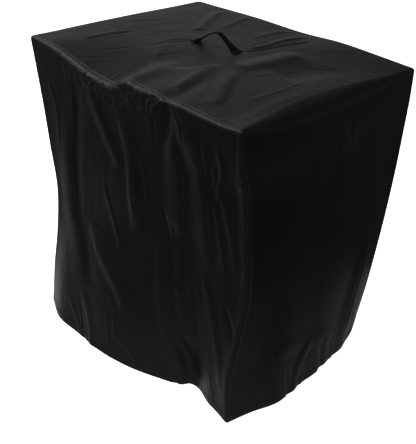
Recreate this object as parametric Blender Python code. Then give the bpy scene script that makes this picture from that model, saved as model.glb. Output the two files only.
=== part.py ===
"""A loose fitted cover for a pool pump, standing as it hangs: a top panel, four side panels and a carrying loop.

Units are metres with +Z up and the hem on z = 0. X runs along the 0.55 m front face and Y along the
0.50 m right face. The front face looks towards -Y. Tables marked mm hold millimetres.
"""

import bmesh
import bpy
import numpy as np

MM = 0.001

WIDTH = 0.55  # along X, front and back faces
DEPTH = 0.50  # along Y, right and left faces
HEIGHT = 0.62  # hem to top panel
SHIFT_X = -0.0175  # puts the middle of the hanging shape over the origin
SHIFT_Y = 0.0026

CLOTH = 0.002  # thickness of every panel
SEAM_GAP = 0.0003  # half of the gap between two panels
FINEST_FLANK = 17  # mm, the narrowest fold flank that the panels' points can carry
FOLD_FADE = 0.2  # share of a fold over which it fades at each end
CREST_POINTS = 18  # points along a fold's crest
CORNER_CLEAR = 0.06  # share of a face beside a rounded corner over which the folds grow
CORNER = 0.032  # share of a face that rounds into the next one
SLANT = 1.6  # a rounded corner brings the panels' edges closer than their places along the faces
SIDE_ROWS = 25  # rows of points from the hem to the shoulder
SHOULDER_ROWS = 5  # rows of points round the shoulder
BEND_SHARES = (0.25, 0.5, 0.75, 1)  # places of the points round half of a rounded corner
WALL_SHARE = 0.9  # share of a side panel's rows below the rounded shoulder
TOP_CLEAR = 0.07  # share of the top panel inside its edge over which the folds grow
EDGE_REACH = 0.32  # share of the top panel that follows the rise and fall of its edges

FACES = ("front", "right", "back", "left")
ALONG = ((1, 0), (0, 1), (-1, 0), (0, -1))
OUTWARD = ((0, -1), (1, 0), (0, 1), (-1, 0))
LENGTHS = (WIDTH, DEPTH, WIDTH, DEPTH)
NOMINAL = ((-1, -1), (1, -1), (1, 1), (-1, 1))

# Heights in mm at which the corners and the swell of each face are given
LEVELS = (0, 100, 200, 300, 400, 500, 550, 620)

# How far each vertical corner hangs from its nominal place, mm, one value per level
CORNER_X = (
    (14, 19, 26, 28, 20, 12, 6, -4),
    (13, 8, 15, 21, 15, 8, -1, -7),
    (10, 12, 13, 14, 14, 13, 13, 13),
    (6, 4, 3, 1, 0, -3, -6, -13),
)
CORNER_Y = (
    (14, 19, 26, 28, 20, 12, 8, 3),
    (10, 8, 15, 21, 15, 8, -1, -7),
    (-25, -8, 3, 9, 12, 12, 11, 4),
    (-12, -8, -5, -3, -1, -2, -3, -4),
)

# Swell of each face beyond the line between its corners, mm: a row per level, a column per share of the face
SWELL_AT = (0, 0.12, 0.25, 0.4, 0.55, 0.7, 0.8, 0.9, 1)
SWELL = {
    "front": (
        (0, 33, 38, 42, 30, 2, -20, -12, 0),
        (0, 26, 31, 35, 26, 4, -14, -8, 0),
        (0, 16, 22, 26, 20, 6, -5, -2, 0),
        (0, 8, 13, 17, 14, 6, 1, 2, 0),
        (0, 4, 7, 10, 9, 5, 3, 2, 0),
        (0, 2, 3, 4, 4, 3, 2, 1, 0),
        (0, 1, 1, 2, 2, 1, 1, 0, 0),
        (0, 0, 0, 0, 0, 0, 0, 0, 0),
    ),
    "right": (
        (0, 15, 36, 35, 39, 31, 27, 18, 0),
        (0, 11, 26, 28, 31, 26, 22, 13, 0),
        (0, 7, 16, 20, 23, 20, 16, 9, 0),
        (0, 4, 9, 12, 14, 13, 10, 6, 0),
        (0, 2, 5, 7, 8, 8, 6, 3, 0),
        (0, 1, 2, 3, 4, 3, 2, 1, 0),
        (0, 0, 1, 2, 2, 2, 1, 0, 0),
        (0, 0, 0, 0, 0, 0, 0, 0, 0),
    ),
    "back": (
        (0, 10, 22, 31, 26, 34, 27, 12, 0),
        (0, 8, 17, 24, 21, 26, 21, 9, 0),
        (0, 5, 12, 17, 16, 19, 15, 6, 0),
        (0, 3, 8, 11, 11, 12, 10, 4, 0),
        (0, 3, 6, 8, 8, 8, 7, 3, 0),
        (0, 3, 6, 7, 7, 7, 5, 2, 0),
        (0, 3, 6, 7, 7, 7, 5, 2, 0),
        (0, 3, 6, 7, 7, 7, 5, 2, 0),
    ),
    "left": (
        (0, 9, 16, 22, 25, 20, 21, 12, 0),
        (0, 7, 13, 18, 20, 17, 17, 9, 0),
        (0, 5, 10, 14, 15, 13, 12, 6, 0),
        (0, 4, 8, 11, 11, 10, 9, 4, 0),
        (0, 4, 7, 10, 10, 9, 7, 3, 0),
        (0, 4, 8, 11, 11, 10, 7, 3, 0),
        (0, 4, 8, 12, 12, 11, 8, 3, 0),
        (0, 4, 9, 13, 13, 12, 9, 4, 0),
    ),
}

# Rise of the top edge over HEIGHT, mm, as (share of the face, rise)
EDGE_RISE = {
    "front": (
        (0, 5.6), (0.1, 6), (0.2, -4), (0.3, -16), (0.38, -20), (0.43, -20), (0.465, -10), (0.5, -1),
        (0.56, -2), (0.65, -2), (0.68, -5), (0.71, -2), (0.83, -3), (0.95, -4), (1, -1.3),
    ),
    "right": ((0, -1.3), (0.1, -3), (0.3, -1), (0.5, -1), (0.7, -3), (0.9, -5), (1, -3.9)),
    "back": ((0, -3.9), (0.12, 0), (0.3, 4), (0.45, 1), (0.7, 3), (0.9, 2), (1, 1.5)),
    "left": ((0, 1.5), (0.2, 2), (0.5, 4), (0.8, 5), (1, 5.6)),
}

# Radius of the rounded shoulder between a side and the top, mm, as (share of the face, radius)
SHOULDER = {
    "front": ((0, 5), (0.12, 9), (0.4, 11), (0.7, 9), (0.92, 7.5), (1, 6)),
    "right": ((0, 6), (0.12, 18), (0.3, 29), (0.6, 28), (0.85, 15), (1, 6)),
    "back": ((0, 6), (0.2, 12), (0.8, 11), (1, 5)),
    "left": ((0, 5), (0.2, 11), (0.8, 10), (1, 5)),
}

# Folds of the sides: height, width of the left flank, width of the right flank, then the crest from its top
# end to its bottom end. Crest points are (distance along the face from its middle, height). All in mm.
FOLDS = {
    "front": (
        (3.6, 48, 28, ((-194, 503), (-208, 412), (-221, 292), (-190, 239), (-168, 198), (-148, 147), (-132, 100))),
        (
            -2.6, 17, 26,
            (
                (-147, 600), (-154, 537), (-166, 472), (-180, 401), (-190, 300), (-175, 255), (-149, 209),
                (-122, 158), (-87, 122),
            ),
        ),
        (3.4, 26, 20, ((-113, 575), (-84, 524), (-66, 487), (-47, 460), (-31, 432))),
        (4, 22, 36, ((-22, 568), (-14, 515), (-9, 467), (-6, 418), (-4, 362), (2, 292))),
        (5, 26, 56, ((-150, 305), (-116, 247), (-80, 212), (-40, 184), (-9, 156), (16, 114))),
        (5, 48, 20, ((112, 570), (115, 503), (117, 457), (115, 404), (112, 350))),
        (4.4, 26, 22, ((64, 345), (69, 279), (83, 199), (101, 148), (118, 107), (126, 63), (128, 10))),
        (4.2, 30, 24, ((112, 360), (117, 306), (125, 241), (136, 197), (149, 151), (158, 108), (164, 66))),
        (
            5.4, 38, 17,
            ((130, 606), (149, 578), (163, 550), (171, 513), (176, 458), (182, 401), (182, 347), (181, 300)),
        ),
        (
            3.4, 17, 18,
            ((164, 335), (177, 275), (195, 234), (212, 191), (234, 146), (252, 92), (265, 51), (275, 10)),
        ),
        (2.6, 17, 20, ((214, 505), (226, 455), (238, 418), (246, 373), (256, 318))),
        (-2.8, 17, 20, ((256, 540), (258, 492), (259, 435), (261, 392), (260, 349), (262, 295))),
        (-4, 18, 22, ((106, 613), (105, 584), (94, 541), (72, 485))),
        (2.8, 17, 22, ((-141, 118), (-116, 86), (-99, 51), (-88, 5), (-84, -30))),
        (-17, 17, 40, ((178, 170), (166, 90), (160, -60))),
    ),
    "right": (
        (1.4, 26, 28, ((20, 585), (22, 500), (14, 410))),
        (-1.4, 24, 24, ((178, 585), (110, 560), (20, 520), (-30, 440))),
        (3.6, 26, 34, ((-128, 124), (-28, 97), (90, 52))),
        (4, 18, 22, ((-20, 90), (-62, 40), (-68, -60))),
        (5, 50, 44, ((176, 260), (146, 130), (118, -60))),
        (-5, 17, 18, ((30, 60), (36, 10), (38, -60))),
    ),
    "back": (
        (6, 24, 18, ((-180, 590), (-150, 430), (-158, 200), (-140, -60))),
        (8, 26, 20, ((-60, 560), (-40, 400), (-48, 230), (-30, -60))),
        (6, 20, 24, ((70, 480), (92, 320), (84, 140), (96, -60))),
        (7, 22, 16, ((190, 580), (172, 420), (182, 220), (170, -60))),
        (-6, 20, 20, ((20, 420), (30, 250), (22, -60))),
    ),
    "left": (
        (6, 26, 18, ((-160, 585), (-140, 400), (-150, 180), (-132, -60))),
        (7, 24, 22, ((-40, 520), (-22, 360), (-34, 160), (-20, -60))),
        (6, 20, 26, ((110, 580), (96, 420), (108, 220), (92, -60))),
        (-5, 18, 20, ((40, 380), (52, 200), (44, -60))),
    ),
}

# Folds of the top panel, in the same columns, with crest points as (x, y) from the middle, mm
TOP_FOLDS = (
    (4, 26, 34, ((84, -60), (88, 15), (108, 112))),
    (-5, 60, 60, ((150, -20), (165, 60), (160, 110))),
    (3, 20, 22, ((112, -222), (66, -130), (30, -50))),
    (3, 18, 20, ((166, -222), (158, -186), (132, -138), (88, -50))),
    (-3.5, 9, 10, ((26, 36), (40, 80), (52, 140), (80, 212))),
    (3, 9, 12, ((14, 44), (26, 86), (34, 140), (52, 200))),
    (-3, 9, 9, ((-82, 12), (-94, -13), (-104, -44))),
    (2.5, 12, 14, ((-214, -160), (-206, -100), (-192, -40))),
    (2.5, 16, 18, ((-60, 120), (-30, 180), (30, 236))),
    (-4, 70, 80, ((-60, -120), (-20, -90), (30, -110))),
)

# Columns of points round each side panel, and columns and rows of the top panel
SIDE_COLUMNS = (48, 23, 13, 12)
TOP_COLUMNS, TOP_ROWS = 22, 20

STRAP_THICK = 0.002
STRAP_LIFT = 0.0005  # gap between the loop and the highest cloth under it
STRAP_MIDDLE = (-0.029, 0.019)
STRAP_TURN = 0.12  # radians from the X axis
STRAP_FOOTPRINT = (0.06, 0.016)  # half of the cloth that the loop lies over, along it and across
# Shares of the top panel that hold the cloth under the loop, and the points looked at there
UNDER_P, UNDER_Q, UNDER_POINTS = (0.3, 0.6), (0.4, 0.65), 61
STRAP_POINTS, STRAP_COLUMNS = 33, 5  # points along the loop and across it
# Rows of the loop from its left end: distance along it, height over the cloth and width, mm
STRAP_ROWS = (
    (-56, 0, 27), (-50, 0, 27), (-45, 0.8, 27), (-40, 5, 25), (-31, 12.5, 19), (-19, 20.5, 16), (-8, 26, 15),
    (1, 28.5, 15), (8, 27.5, 15), (17, 21.5, 15), (28, 13, 17), (37, 5.5, 23), (43, 1, 27), (48, 0, 28),
    (54, 0, 28),
)

NAMED_COLOURS = {
    "coated_cloth": ((0.006, 0.006, 0.0065, 1), 0.38),
    "webbing": ((0.006, 0.006, 0.0065, 1), 0.75),
}


def clear_scene():
    for item in list(bpy.data.objects):
        bpy.data.objects.remove(item, do_unlink=True)


def curve(at, stops, values):
    """Smooth line through the given values, flat beyond both ends."""
    stops = np.asarray(stops, float)
    values = np.asarray(values, float)
    slopes = np.gradient(values, stops)
    index = np.clip(np.searchsorted(stops, at) - 1, 0, len(stops) - 2)
    span = stops[index + 1] - stops[index]
    t = np.clip((at - stops[index]) / span, 0, 1)
    keep = (2 * t**3 - 3 * t**2 + 1) * values[index] + (3 * t**2 - 2 * t**3) * values[index + 1]
    lean = (t**3 - 2 * t**2 + t) * slopes[index] + (t**3 - t**2) * slopes[index + 1]
    return keep + lean * span


def smooth(t):
    t = np.clip(t, 0, 1)
    return t * t * (3 - 2 * t)


def table_of(rows, at):
    stops, values = zip(*rows)
    return curve(at, stops, values)


def crest_points(path):
    """The crest as a smooth line of points evenly spread over its control points."""
    path = np.asarray(path, float)
    steps = np.arange(len(path))
    at = np.linspace(0, len(path) - 1, CREST_POINTS)
    return np.stack([curve(at, steps, path[:, 0]), curve(at, steps, path[:, 1])], axis=1)


def fold_height(across, up, rows):
    """Sum of the folds at points of a face, mm. Each fold fades out over the last fifth at both ends."""
    total = np.zeros(np.broadcast(across, up).shape)
    for height, left, right, path in rows:
        line = crest_points(path)
        best = np.full(total.shape, np.inf)
        side = np.zeros(total.shape)
        travel = np.zeros(total.shape)
        for step in range(len(line) - 1):
            start = line[step]
            run = line[step + 1] - start
            t = np.clip(((across - start[0]) * run[0] + (up - start[1]) * run[1]) / (run @ run), 0, 1)
            away_x = across - start[0] - t * run[0]
            away_y = up - start[1] - t * run[1]
            distance = np.hypot(away_x, away_y)
            nearer = distance < best
            best = np.where(nearer, distance, best)
            side = np.where(nearer, away_y * run[0] - away_x * run[1], side)
            travel = np.where(nearer, (step + t) / (len(line) - 1), travel)
        width = np.where(side < 0, max(left, FINEST_FLANK), max(right, FINEST_FLANK))
        bump = 0.5 + 0.5 * np.cos(np.pi * np.clip(best / width, 0, 1))
        total = total + height * bump * smooth(travel / FOLD_FADE) * smooth((1 - travel) / FOLD_FADE)
    return total


def corner_at(number, z):
    level = z / MM
    x = NOMINAL[number][0] * WIDTH / 2 + curve(level, LEVELS, CORNER_X[number]) * MM
    y = NOMINAL[number][1] * DEPTH / 2 + curve(level, LEVELS, CORNER_Y[number]) * MM
    return x, y


def swell_at(name, share, z):
    rows = [curve(share, SWELL_AT, row) for row in SWELL[name]]
    level = np.clip(z / MM, LEVELS[0], LEVELS[-1])
    total = np.zeros(np.broadcast(share, z).shape)
    for index in range(len(LEVELS)):
        weight = curve(level, LEVELS, np.eye(len(LEVELS))[index])
        total = total + weight * rows[index]
    return total * MM


def face_point(number, share, z, inset, fold_share):
    """Plan position on one face before its ends are rounded."""
    name = FACES[number]
    start_x, start_y = corner_at(number, z)
    end_x, end_y = corner_at((number + 1) % 4, z)
    along = (share - 0.5) * LENGTHS[number] / MM
    window = smooth((share - CORNER) / CORNER_CLEAR) * smooth((1 - CORNER - share) / CORNER_CLEAR)
    folds = fold_height(along, z / MM, FOLDS[name]) * MM * window * fold_share
    out = swell_at(name, share, z) + folds - inset
    slide = inset * (1 - 2 * share)
    x = start_x + (end_x - start_x) * share + ALONG[number][0] * slide + OUTWARD[number][0] * out
    y = start_y + (end_y - start_y) * share + ALONG[number][1] * slide + OUTWARD[number][1] * out
    return x, y


def edge_of(turn, kind):
    """Value of an edge table at a place round the cover, in metres.

    Turn counts faces from the front left corner.
    """
    turn = np.mod(turn, 4)
    number = np.minimum(np.floor(turn).astype(int), 3)
    values = [table_of(kind[name], turn - index) for index, name in enumerate(FACES)]
    return np.choose(number, values) * MM


def wall(turn, row):
    """Outer surface of the sides: turn runs round the cover, row from the hem at 0 to the top seam at 1."""
    turn, row = np.broadcast_arrays(np.asarray(turn, float), np.asarray(row, float))
    radius = edge_of(turn, SHOULDER)
    edge = HEIGHT + edge_of(turn, EDGE_RISE)
    bend = np.clip((row - WALL_SHARE) / (1 - WALL_SHARE), 0, 1) * np.pi / 2
    z = np.clip(row / WALL_SHARE, 0, 1) * (edge - radius) + radius * np.sin(bend)
    inset = radius * (1 - np.cos(bend))
    fold_share = np.cos(bend)
    nearest = np.rint(turn)
    local = (turn - nearest) / CORNER
    rounded = np.abs(local) < 1
    turn_wrapped = np.mod(turn, 4)
    number = np.minimum(np.floor(turn_wrapped).astype(int), 3)
    x = np.zeros(turn.shape)
    y = np.zeros(turn.shape)
    for face in range(4):
        here = (number == face) & ~rounded
        if here.any():
            share = turn_wrapped[here] - face
            x[here], y[here] = face_point(face, share, z[here], inset[here], fold_share[here])
        bent = rounded & (np.mod(nearest, 4) == face)
        if bent.any():
            t = (local[bent] + 1) / 2
            values = (z[bent], inset[bent], fold_share[bent])
            before = face_point((face + 3) % 4, np.full(t.shape, 1 - CORNER), *values)
            after = face_point(face, np.full(t.shape, CORNER), *values)
            tip = face_point(face, np.zeros(t.shape), *values)
            weights = ((1 - t) ** 2, 2 * t * (1 - t), t**2)
            x[bent] = weights[0] * before[0] + weights[1] * tip[0] + weights[2] * after[0]
            y[bent] = weights[0] * before[1] + weights[1] * tip[1] + weights[2] * after[1]
    return np.stack([x + SHIFT_X, y + SHIFT_Y, z], axis=-1)


def top(p, q):
    """Outer surface of the top panel: p runs from left to right and q from front to back."""
    p, q = np.broadcast_arrays(np.asarray(p, float), np.asarray(q, float))
    front = wall(p, 1)
    back = wall(3 - p, 1)
    left = wall(4 - q, 1)
    right = wall(1 + q, 1)
    corners = [wall(number, 1) for number in range(4)]

    def patch(along, up):
        sides = front * (1 - up) + back * up + left * (1 - along) + right * along
        twice = (
            corners[0] * (1 - along) * (1 - up) + corners[1] * along * (1 - up)
            + corners[2] * along * up + corners[3] * (1 - along) * up
        )
        return sides - twice

    point = patch(p[..., None], q[..., None])
    near = {side: smooth(1 - away / EDGE_REACH) for side, away in zip("flbr", (q, p, 1 - q, 1 - p))}
    rise = (
        near["f"] * (front[..., 2] - HEIGHT) + near["b"] * (back[..., 2] - HEIGHT)
        + near["l"] * (left[..., 2] - HEIGHT) + near["r"] * (right[..., 2] - HEIGHT)
        - near["f"] * near["l"] * (corners[0][2] - HEIGHT) - near["f"] * near["r"] * (corners[1][2] - HEIGHT)
        - near["b"] * near["r"] * (corners[2][2] - HEIGHT) - near["b"] * near["l"] * (corners[3][2] - HEIGHT)
    )
    middle_x = (point[..., 0] - SHIFT_X) / MM
    middle_y = (point[..., 1] - SHIFT_Y) / MM
    inside = smooth(p / TOP_CLEAR) * smooth((1 - p) / TOP_CLEAR)
    inside = inside * smooth(q / TOP_CLEAR) * smooth((1 - q) / TOP_CLEAR)
    point[..., 2] = HEIGHT + rise + inside * fold_height(middle_x, middle_y, TOP_FOLDS) * MM
    return point


def normals_of(surface, first, second):
    """Unit outward normals of a surface function on a grid of parameters."""
    step = 1e-4
    along = surface(first + step, second) - surface(first - step, second)
    up = surface(first, np.minimum(second + step, 1)) - surface(first, np.maximum(second - step, 0))
    normal = np.cross(along, up)
    return normal / np.linalg.norm(normal, axis=-1, keepdims=True)


def material_named(name):
    colour, roughness = NAMED_COLOURS[name]
    made = bpy.data.materials.get(name) or bpy.data.materials.new(name)
    made.use_nodes = True
    shader = made.node_tree.nodes["Principled BSDF"]
    shader.inputs["Base Color"].default_value = colour
    shader.inputs["Roughness"].default_value = roughness
    shader.inputs["Metallic"].default_value = 0.0
    return made


def closed_sheet(name, outer, inner, material):
    """A sheet between two grids of points, made from one grid extruded onto its other side."""
    across, up = outer.shape[0] - 1, outer.shape[1] - 1
    shape = bmesh.new()
    bmesh.ops.create_grid(shape, x_segments=across, y_segments=up, size=0.5)
    place = {vert: (round((vert.co.x + 0.5) * across), round((vert.co.y + 0.5) * up)) for vert in shape.verts}
    made = bmesh.ops.extrude_face_region(shape, geom=list(shape.faces), use_keep_orig=True)
    for vert in made["geom"]:
        if isinstance(vert, bmesh.types.BMVert):
            index = (round((vert.co.x + 0.5) * across), round((vert.co.y + 0.5) * up))
            vert.co = inner[index]
    for vert, index in place.items():
        vert.co = outer[index]
    bmesh.ops.recalc_face_normals(shape, faces=list(shape.faces))
    mesh = bpy.data.meshes.new(name)
    shape.to_mesh(mesh)
    shape.free()
    for face in mesh.polygons:
        face.use_smooth = True
    mesh.materials.append(material_named(material))
    item = bpy.data.objects.new(name, mesh)
    bpy.context.scene.collection.objects.link(item)
    return item


def side_panel(number, columns):
    """One side, sewn to its neighbours at the corners and to the top panel along the shoulder."""
    gap = SEAM_GAP * SLANT / LENGTHS[number]
    bends = np.array(BEND_SHARES) * CORNER
    middle = np.linspace(CORNER, 1 - CORNER, columns)[1:-1]
    shares = np.concatenate([[gap], bends, middle, (1 - bends)[::-1], [1 - gap]])
    shoulder = np.linspace(WALL_SHARE, 1, SHOULDER_ROWS)[1:]
    heights = np.concatenate([np.linspace(0, WALL_SHARE, SIDE_ROWS), shoulder])
    turn, row = np.meshgrid(number + shares, heights, indexing="ij")
    outer = wall(turn, row)
    inner = outer - CLOTH * normals_of(wall, turn, row)
    inner[:, 0, 2] = 0
    return closed_sheet("side_panel_" + FACES[number], outer, inner, "coated_cloth")


def top_panel(columns, rows):
    """The top panel inside the seam line, a seam gap short of the sides all round."""
    p, q = np.meshgrid(np.linspace(0, 1, columns), np.linspace(0, 1, rows), indexing="ij")
    outer = top(p, q)
    middle = outer[columns // 2, rows // 2]
    pull = 2 * SEAM_GAP
    for line, axis in ((outer[0], 0), (outer[-1], 0), (outer[:, 0], 1), (outer[:, -1], 1)):
        line[..., axis] += pull * np.sign(middle[axis] - line[..., axis])
    inner = outer - CLOTH * normals_of(top, p, q)
    for line_out, line_in in zip(
        (outer[0], outer[-1], outer[:, 0], outer[:, -1]), (inner[0], inner[-1], inner[:, 0], inner[:, -1])
    ):
        line_in[..., :2] = line_out[..., :2]
        line_in[..., 2] = line_out[..., 2] - CLOTH
    return closed_sheet("top_panel", outer, inner, "coated_cloth")


def handle():
    """A webbing loop with flat sewn ends, narrower where a hand holds it."""
    rows = np.array(STRAP_ROWS) * MM
    steps = np.arange(len(rows))
    at = np.linspace(0, len(rows) - 1, STRAP_POINTS)
    along, lift, width = (curve(at, steps, rows[:, column]) for column in range(3))
    lift = np.maximum(lift, 0)
    slope = np.gradient(lift, along)
    tilt = np.stack([-slope, np.ones(len(at))], axis=1) / np.hypot(slope, 1)[:, None]
    turned = np.array([np.cos(STRAP_TURN), np.sin(STRAP_TURN)])
    aside = np.array([-turned[1], turned[0]])
    middle = np.array(STRAP_MIDDLE) + (SHIFT_X, SHIFT_Y)
    under_p = np.linspace(*UNDER_P, UNDER_POINTS)
    under_q = np.linspace(*UNDER_Q, UNDER_POINTS)
    cloth = top(*np.meshgrid(under_p, under_q, indexing="ij"))
    reach = (cloth[..., :2] - middle) @ np.stack([turned, aside], axis=1)
    under = (np.abs(reach[..., 0]) < STRAP_FOOTPRINT[0]) & (np.abs(reach[..., 1]) < STRAP_FOOTPRINT[1])
    base = cloth[..., 2][under].max() + STRAP_LIFT
    sides = []
    for thick in (STRAP_THICK, 0.0):
        run = along + tilt[:, 0] * thick
        across = width[:, None] * np.linspace(-0.5, 0.5, STRAP_COLUMNS)
        grid = np.zeros((STRAP_POINTS, STRAP_COLUMNS, 3))
        grid[..., :2] = middle + run[:, None, None] * turned + across[..., None] * aside
        grid[..., 2] = (base + lift + tilt[:, 1] * thick)[:, None]
        sides.append(grid)
    return closed_sheet("handle", sides[0], sides[1], "webbing")


def build():
    clear_scene()
    for number, columns in enumerate(SIDE_COLUMNS):
        side_panel(number, columns)
    top_panel(TOP_COLUMNS, TOP_ROWS)
    handle()


build()
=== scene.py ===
"""The pool pump cover as it stands.

It is black coated cloth sewn from five panels, hanging in folds, with a webbing loop on top. Metres, +Z up,
hem on z = 0. Tables marked mm hold millimetres. The front face looks towards -Y.
"""

from math import radians

import bmesh
import bpy
import numpy as np
from mathutils import Matrix, Vector


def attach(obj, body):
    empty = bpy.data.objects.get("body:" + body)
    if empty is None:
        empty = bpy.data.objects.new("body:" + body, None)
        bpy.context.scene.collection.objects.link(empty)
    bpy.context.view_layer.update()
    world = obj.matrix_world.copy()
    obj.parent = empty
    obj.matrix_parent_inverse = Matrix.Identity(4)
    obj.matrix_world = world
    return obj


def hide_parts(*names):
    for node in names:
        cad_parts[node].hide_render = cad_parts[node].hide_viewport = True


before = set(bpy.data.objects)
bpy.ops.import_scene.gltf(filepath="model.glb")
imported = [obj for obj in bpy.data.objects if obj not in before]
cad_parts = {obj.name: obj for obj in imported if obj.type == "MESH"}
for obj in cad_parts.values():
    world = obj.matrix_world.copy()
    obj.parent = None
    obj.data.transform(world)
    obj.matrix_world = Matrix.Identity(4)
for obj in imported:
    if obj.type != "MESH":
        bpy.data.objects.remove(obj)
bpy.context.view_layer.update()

MM = 0.001

# The cover's own sizes

WIDTH = 0.55  # along X, front and back faces
DEPTH = 0.50  # along Y, right and left faces
HEIGHT = 0.62  # hem to top panel
SHIFT_X = -0.0175  # from the middle of the nominal plan to the middle of the hanging one
SHIFT_Y = 0.0026

CLOTH = 0.0012  # thickness of the coated cloth as it shows at an edge
SEAM_DIP = 0.0016  # how far the cloth turns in at a seam
SEAM_REACH = 0.0018  # width of that turn
TOP_SEAM_SHARE = (1.0, 0.15, 1.0, 1.0)  # how much of that turn the seam along each face's top edge has
UPRIGHT_SEAM_SHARE = 0.25  # and how much an upright seam has
UPRIGHT_SEAM_REACH = 0.004  # below the top seam, where an upright seam takes its full turn
SEAM_STEPS = (0.0005, 0.0011, 0.0018, 0.0028, 0.0045, 0.007)  # distances of the cloth's points beside a seam

RIB_HIGH = (0.0012, 0.004, 0.0012, 0.0012)  # how far the sewn allowance pushes each upright seam out
RIB_NARROW = 0.005  # reach of that rib past the seam
RIB_WIDE = 0.012  # how much farther it reaches on the lower cloth before the seam
RIB_SLIM_ABOVE = 0.6  # height above which the rib is slim
RIB_SLIM_CHANGE = 0.1  # height over which it grows to its full size
RIB_SLIM_SHARE = 0.5
RIB_TOP_FADE = 0.012  # distance below the top seam over which the rib dies away
RIB_HEM_SHARE = 0.3  # what is left of the rib at the hem
RIB_HEM_FADE = 0.1  # height over which it gets there
RIB_PUCKER = 0.25  # share by which the stitching makes the rib rise and fall
RIB_PUCKER_WAVE = (0.0021, 0, 2, 0.011)  # its ripple, pitches in metres
RIB_PUCKER_ABOVE = 0.5  # height where these puckers begin
RIB_PUCKER_CHANGE = 0.03

HEM_DEEP = 0.017  # height of the turned-up hem
HEM_STEP = 0.0006  # how far the doubled hem stands out
HEM_BLEND = 0.0016  # height over which it steps out
HEM_THICKER = 0.7  # share of the cloth's thickness that the turned-up cloth adds
HEM_ROWS = (0, 0.0004, 0.004, 0.008, 0.012, HEM_DEEP - 0.0018, HEM_DEEP - 0.0009, HEM_DEEP, HEM_DEEP + 0.001)

CORNER = 0.009  # share of a face that rounds into the next one
WALL_SHARE = 0.9  # share of a side's rows below the rounded shoulder
SHOULDER_ROWS = (0.12, 0.25, 0.38, 0.5, 0.62, 0.73, 0.82, 0.88, 0.92, 0.95, 0.975, 1)  # shares of it
SHOULDER_LAY = 0.2  # length of flat cloth for the rows of the shoulder, if they were the whole side
UP = np.array([0.0, 0.0, 1.0])

CREST_POINTS = 18  # points along a fold's crest
FOLD_FADE = 0.2  # share of a fold's length over which it dies away at each end
FOLD_CLEAR = 0.06  # share of a side over which folds die away towards its ends
CREASE_CLEAR = 0.02  # the same for creases and puckers, and on the top too
TOP_FOLD_CLEAR = 0.07  # share of the top over which its folds die away towards the seams
TOP_RISE_REACH = 0.32  # share of the top over which the rise of an edge dies away inwards

# Puckers at the seams. A ripple is its pitch, its phase, how much the phase wanders and the pitch of that. A
# pitch is the length for one radian, in mm.
SIDE_PUCKER_HIGH = 0.32  # mm
SIDE_PUCKER_WAVE = (3.1, 0, 1.4, 17)
SIDE_PUCKER_SECOND = (5.3, 2, 0, 1)
SIDE_PUCKER_SECOND_SHARE = 0.6
SIDE_PUCKER_FADE = 16  # mm below the seam
SIDE_PUCKER_CALM = 0.25  # share of their height where the seam lies calmest
SIDE_PUCKER_CALM_PITCH = 41  # mm
TOP_PUCKER_HIGH = (0.35, 0.25, 0.3)  # mm, along the front, back and right edges
TOP_PUCKER_WAVES = ((3.3, 0, 1.3, 19), (4.1, 1, 0, 1), (3.7, 0, 1, 23))
TOP_PUCKER_FADE = 0.03  # share of the top

FACES = ("front", "right", "back", "left")
ALONG = ((1, 0), (0, 1), (-1, 0), (0, -1))
OUTWARD = ((0, -1), (1, 0), (0, 1), (-1, 0))
LENGTHS = (WIDTH, DEPTH, WIDTH, DEPTH)
NOMINAL = ((-1, -1), (1, -1), (1, 1), (-1, 1))

# Heights in mm at which the corners and the swell of each face are given
LEVELS = (0, 100, 200, 300, 400, 500, 550, 620)

# How far each vertical corner hangs from its nominal place, mm, one value per level
CORNER_X = (
    (14, 19, 26, 28, 20, 12, 6, -4),
    (13, 8, 15, 21, 15, 8, -1, -7),
    (10, 12, 13, 14, 14, 13, 13, 13),
    (6, 4, 3, 1, 0, -3, -6, -13),
)
CORNER_Y = (
    (14, 19, 26, 28, 20, 12, 8, 3),
    (10, 8, 15, 21, 15, 8, -1, -7),
    (-25, -8, 3, 9, 12, 12, 11, 4),
    (-12, -8, -5, -3, -1, -2, -3, -4),
)

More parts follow.
